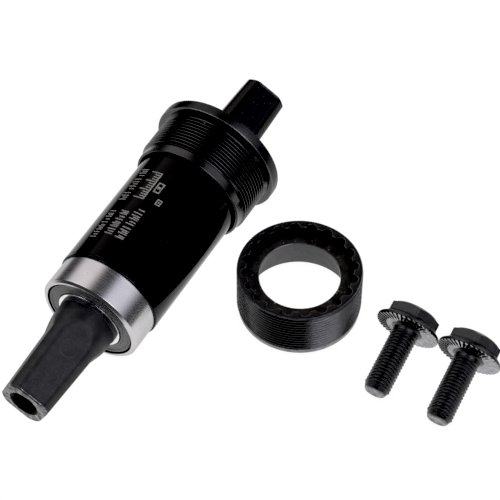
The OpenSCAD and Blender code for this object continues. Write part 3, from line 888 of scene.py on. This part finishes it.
def loose_cup():
    axis = Axis("non_drive_cup_turn")
    lo, hi = axis.span("non_drive_cup")
    crest = MOUNT["non_drive_cup_thread"]["dims"]["r_mm"]
    root, turned = crest - SHELL_DEPTH, crest - 0.55
    columns, notched = notch_columns(axis, "non_drive_cup")
    bore, hole = 14.95, axis.radii("non_drive_cup")[0]
    floor, web_low = hi - RECESS_DEPTH, hi - 5.0
    start, end = lo + 1.9, hi - 0.35
    outer = envelope([(start, turned), (start + 0.6, crest), (end - 0.15, crest), (end, crest - 0.1)])
    inner = envelope([(start, turned), (start + 0.3, root), (end - 0.75, root), (end, crest - 0.1)])
    thread, shift = helix(columns, start, end, SHELL_PITCH, 1, outer, inner)
    base = rounded([(bore + 0.4, lo, 0.1), (crest - 0.75, lo, 0.2), (crest - 0.35, lo + 0.5, 0.3),
                    (crest - 0.3, start - 0.15, 0.1), (turned, start, 0)])
    # The thread's top edge, like the hole's rim further in, carries the painted edge highlight
    edge = [(crest - 0.1, end), (crest - 0.12, hi - 0.25), (crest - 0.36, hi)]
    rim = [(crest - 0.36, hi), (RIM_R, hi)]
    inside = rounded([(hole + 0.22, floor, 0), (hole, floor - 0.2, 0.08), (hole, web_low, 0.2),
                      (bore, web_low, 0.3), (bore, lo + 0.4, 0.15), (bore + 0.4, lo, 0)])
    split = int(np.argmax(inside[:, 1] < floor - 0.3))
    grow("loose_cup_turned", axis, "loose_cup", columns,
         [(rings(base, columns), 2), (thread, 3, shift), (rings(edge, columns), 4), (rings(rim, columns), 0),
          *recess_bands(notched, hi, floor, hole + 0.22, 0, 5, 6), (rings(inside[:split], columns), 4),
          (rings(inside[split - 1:], columns), 1)],
         [LOOSE, CUP_BORE, CUP_FOOT_LIT, LOOSE_THREAD, CUP_EDGE_HIGHLIGHT, CUP_NOTCH, LOOSE_FLOOR],
         ["non_drive_cup"])


# ---- Crank bolts ----

def ratchet(angle, radius):
    """Height from 0 to 1 of teeth with one gentle and one steep side, swept back along the radius."""
    wave = (radius * TOOTH_SWEEP - angle * TEETH) / TAU % 1.0
    return np.where(wave < GENTLE, wave / GENTLE, (1 - wave) / (1 - GENTLE))


def crank_bolt(joint, node, body, name):
    """A hexagon bolt whose station 0 is the seat under its flange, with its thread below that."""
    axis = Axis(joint)
    tip, top = axis.span(node)
    flange = axis.radii(node)[1]
    shank = MOUNT[body + "_thread"]["dims"]["r_mm"]
    flat, per_side = 7.0, 60
    corner = axis.corner_angle(node, 6, 1.7, top - 0.1)
    columns = corner + even_columns(6 * per_side)
    off_flat = np.abs((columns - corner) % (TAU / 6) - TAU / 12)
    hexagon = smooth_min(flat / math.cos(TAU / 12) - 0.05, flat / np.cos(off_flat), 0.25)

    # Flange and the cone that blends into the hexagon, the hexagon's sides, its chamfered crown and its top
    rim_top, cone_r, cone_z, sides_low, dish = 1.3, 8.0, 1.95, 2.8, top - 0.3
    head = [rings([(flange - 0.05, 0.35), (flange, 0.5), (flange, 0.95), (flange - 0.07, 1.15),
                   (flange - 0.25, rim_top), (flange - 0.45, rim_top + 0.1), (cone_r, cone_z)], columns)]
    for s in (0.5, 0.85, 1.0):
        head.append([row(hexagon * s + (1 - s) * cone_r, cone_z + 0.55 * s ** 1.5)])
    for z in np.linspace(sides_low, top - 1.1, 4):
        head.append([row(hexagon, z)])
    for s in np.linspace(0, 1, 9):
        head.append([row(smooth_min(hexagon, flat + 1.05 - 1.55 * s, 0.2), top - 0.95 * (1 - s ** 1.4))])
    head.append(rings([(flat - 0.75, top), (5.0, top), (4.6, top - 0.25), (2.0, dish)], columns))
    head = capped(np.concatenate(head), dish)

    # Ratcheted seat and the neck
    low, tooth = 0.02, 0.24
    ridges = [row(r, low + tooth * ratchet(columns, r)) for r in (flange - 0.3, 8.1, 7.5, 6.9, 6.3)]
    under = np.concatenate([rings([(flange - 0.05, 0.35)], columns), ridges,
                            rings([(6.1, 0.04), (shank + 0.55, 0.04)], columns)])
    neck = rings([(shank + 0.55, low), (shank + 0.2, -0.05), (shank - 0.3, -0.35), (shank - 0.35, -1.0)],
                 columns)

    # Thread, from the tip's cone up to the neck
    end, start = tip + 1.35, -1.0
    root, crest, runout, tip_r = shank - 0.66, shank - 0.3, shank - 0.35, shank - 0.62
    outer = envelope([(end, tip_r), (end + 0.4, shank - 0.25), (end + 1.4, crest), (start - 1.4, crest),
                      (start, runout)])
    inner = envelope([(end, tip_r), (end + 0.15, root), (start - 1.2, root), (start, runout)])
    thread, shift = helix(columns, end, start, BOLT_PITCH, 1, outer, inner)
    cone = rings([(tip_r, end), (shank - 0.75, tip + 1.0), (shank - 1.0, tip + 0.4)], columns)
    point = rings([(shank - 1.0, tip + 0.4), (shank - 1.25, tip + 0.08), (shank - 1.45, tip),
                   (2.2, tip + 0.02), (1.8, tip + 0.2), (1.2, tip + 0.3)], columns)
    grow(name, axis, body, columns,
         [(head, 0), (under, 2), (neck, 0), (thread, 0, shift), (cone, 0), (capped(point, tip + 0.35), 1)],
         [BOLT, BOLT_BARE, SEAT], [node], sharp=math.radians(50))


spindle()
bare_bearing()
snap_ring("non_drive_snap_ring", "bare_snap_ring")
snap_ring("drive_snap_ring", "drive_snap_ring_bent")
tube()
print_marks()
drive_cup()
drive_shield()
loose_cup()
crank_bolt("left_bolt_turn", "left_crank_bolt", "left_bolt", "left_flange_bolt")
crank_bolt("right_bolt_turn", "right_crank_bolt", "right_bolt", "right_flange_bolt")

# The CAD nodes that stay, inside the cartridge, with the finish and slot of each
CARRIED_OVER = {
    "bearing_spacer": (SPACER, "spacer_steel"),
    "drive_bearing_outer_ring": (RING, "ground_steel"),
    "drive_bearing_inner_ring": (RACE, "race_steel"),
    "drive_bearing_balls": (BALL, "ball_steel"),
    "non_drive_bearing_balls": (BALL, "ball_steel"),
    "drive_bearing_cage": (BRASS, "cage_brass"),
    "non_drive_bearing_cage": (BRASS, "cage_brass"),
    "drive_bearing_outboard_seal": (SEAL, "seal_rubber"),
    "drive_bearing_inboard_seal": (SEAL, "seal_rubber"),
    "non_drive_bearing_inboard_seal": (SEAL, "seal_rubber"),
}
for node, (finish, slot_name) in CARRIED_OVER.items():
    data = frame["nodes"][node].data
    data.materials.clear()
    data.materials.append(finish)

# ---- Floor, light and camera ----

TABLE = rest_bounds[0].z


def floor():
    """White paper that glows evenly to the camera, fades away from the part to all else and carries a
    painted contact shadow right against the pieces; seen from below it is clear."""
    bpy.ops.mesh.primitive_circle_add(vertices=96, radius=0.55, fill_type="NGON",
                                      location=(0.0, -0.03, TABLE))
    sheet = bpy.context.object
    sheet.name = "paper_floor"
    material = bpy.data.materials.new("white_paper")
    material.use_nodes = True
    material.node_tree.nodes.clear()
    n = Nodes(material.node_tree)
    # Ambient occlusion darkens the glow right against the pieces: a painted contact shadow
    near = n.add("ShaderNodeAmbientOcclusion", samples=8)
    near.inputs["Distance"].default_value = 0.004
    away = n.vector("LENGTH", n.add("ShaderNodeTexCoord").outputs["Object"])
    fade = n.spread(away, 0.10, 0.21, 1.0, 0.08)
    seen = n.math("MAXIMUM", fade, n.add("ShaderNodeLightPath").outputs["Is Camera Ray"])
    glow = n.add("ShaderNodeEmission")
    n.feed(glow.inputs["Color"], n.spread(near.outputs["AO"], 0.0, 1.0, 0.90, 1.0, "LINEAR"))
    n.feed(glow.inputs["Strength"], n.math("MULTIPLY", seen, 1.03, clamp=False))
    below = n.add("ShaderNodeNewGeometry").outputs["Backfacing"]
    n.feed(n.add("ShaderNodeOutputMaterial").inputs["Surface"],
           n.mixed(below, glow, n.add("ShaderNodeBsdfTransparent")))
    sheet.data.materials.append(material)


def studio():
    """Two long softboxes, one on each side of the part, and two small high lamps under a dark ceiling, all
    painted on the world; the camera itself sees plain white."""
    world = bpy.data.worlds.new("studio")
    bpy.context.scene.world = world
    world.use_nodes = True
    world.node_tree.nodes.clear()
    n = Nodes(world.node_tree)
    x, y, z = n.parts(n.add("ShaderNodeTexCoord").outputs["Generated"])

    def window(value, low, high, soft_low, soft_high):
        """1 between two values, fading to 0 over the given widths."""
        return n.math("MULTIPLY", n.spread(value, low - soft_low / 2, low + soft_low / 2),
                      n.spread(value, high + soft_high / 2, high - soft_high / 2))

    def arc(value, *degrees):
        """window() with its limits in degrees."""
        return window(value, *map(math.radians, degrees))

    side = n.math("ARCTAN2", y, z, clamp=False)
    turn = n.math("ARCTAN2", y, x, clamp=False)
    high = window(z, 0.62, 0.97, 0.08, 0.04)
    # Two windows that bound each light, and its colour
    lights = ((arc(side, 16, 68, 20, 20), window(x, -0.5, 0.88, 0.25, 0.2), (0.97, 0.93, 0.94)),
              (arc(side, -71, -21, 30, 18), window(x, -0.35, 0.88, 0.25, 0.2), (0.86, 0.86, 0.94)),
              (arc(turn, -128, -76, 6, 6), high, (2.4, 2.4, 2.75)),
              (arc(turn, 100, 130, 6, 6), high, (1.9, 1.9, 2.0)))
    total = (0.055, 0.055, 0.057)
    for across, along, colour in lights:
        total = n.vector("ADD", total, n.vector("SCALE", colour, scale=n.math("MULTIPLY", across, along)))
    light = n.add("ShaderNodeBackground")
    n.feed(light.inputs["Color"], total)
    white = n.add("ShaderNodeBackground")
    white.inputs["Color"].default_value = (1, 1, 1, 1)
    white.inputs["Strength"].default_value = 1.02
    n.feed(n.add("ShaderNodeOutputWorld").inputs["Surface"],
           n.mixed(n.add("ShaderNodeLightPath").outputs["Is Camera Ray"], light, white))


def camera():
    """The photo's view: a long lens that looks down at 51 degrees, 58 degrees round from +Y towards +X."""
    azimuth, elevation, distance = math.radians(-58.44), math.radians(51.27), 0.568
    aim = Vector((0.0237, -0.0181, TABLE))
    back = Vector((math.sin(azimuth) * math.cos(elevation), -math.cos(azimuth) * math.cos(elevation),
                   math.sin(elevation)))
    cam = bpy.data.objects.new("photo_camera", bpy.data.cameras.new("photo_camera"))
    bpy.context.scene.collection.objects.link(cam)
    cam.data.sensor_width, cam.data.lens = 36.0, 142.8
    cam.data.clip_start, cam.data.clip_end = 0.02, 10.0
    cam.location = aim + back * distance
    cam.rotation_mode = "QUATERNION"
    cam.rotation_quaternion = (-back).to_track_quat("-Z", "Y")
    bpy.context.scene.camera = cam


def look():
    """Plain display, with the blacks set as deep as the photo's."""
    view = bpy.context.scene.view_settings
    view.view_transform, view.look = "Standard", "None"
    view.use_curve_mapping = True
    view.curve_mapping.black_level = (0.018, 0.018, 0.018)
    view.curve_mapping.update()


floor()
studio()
camera()
look()
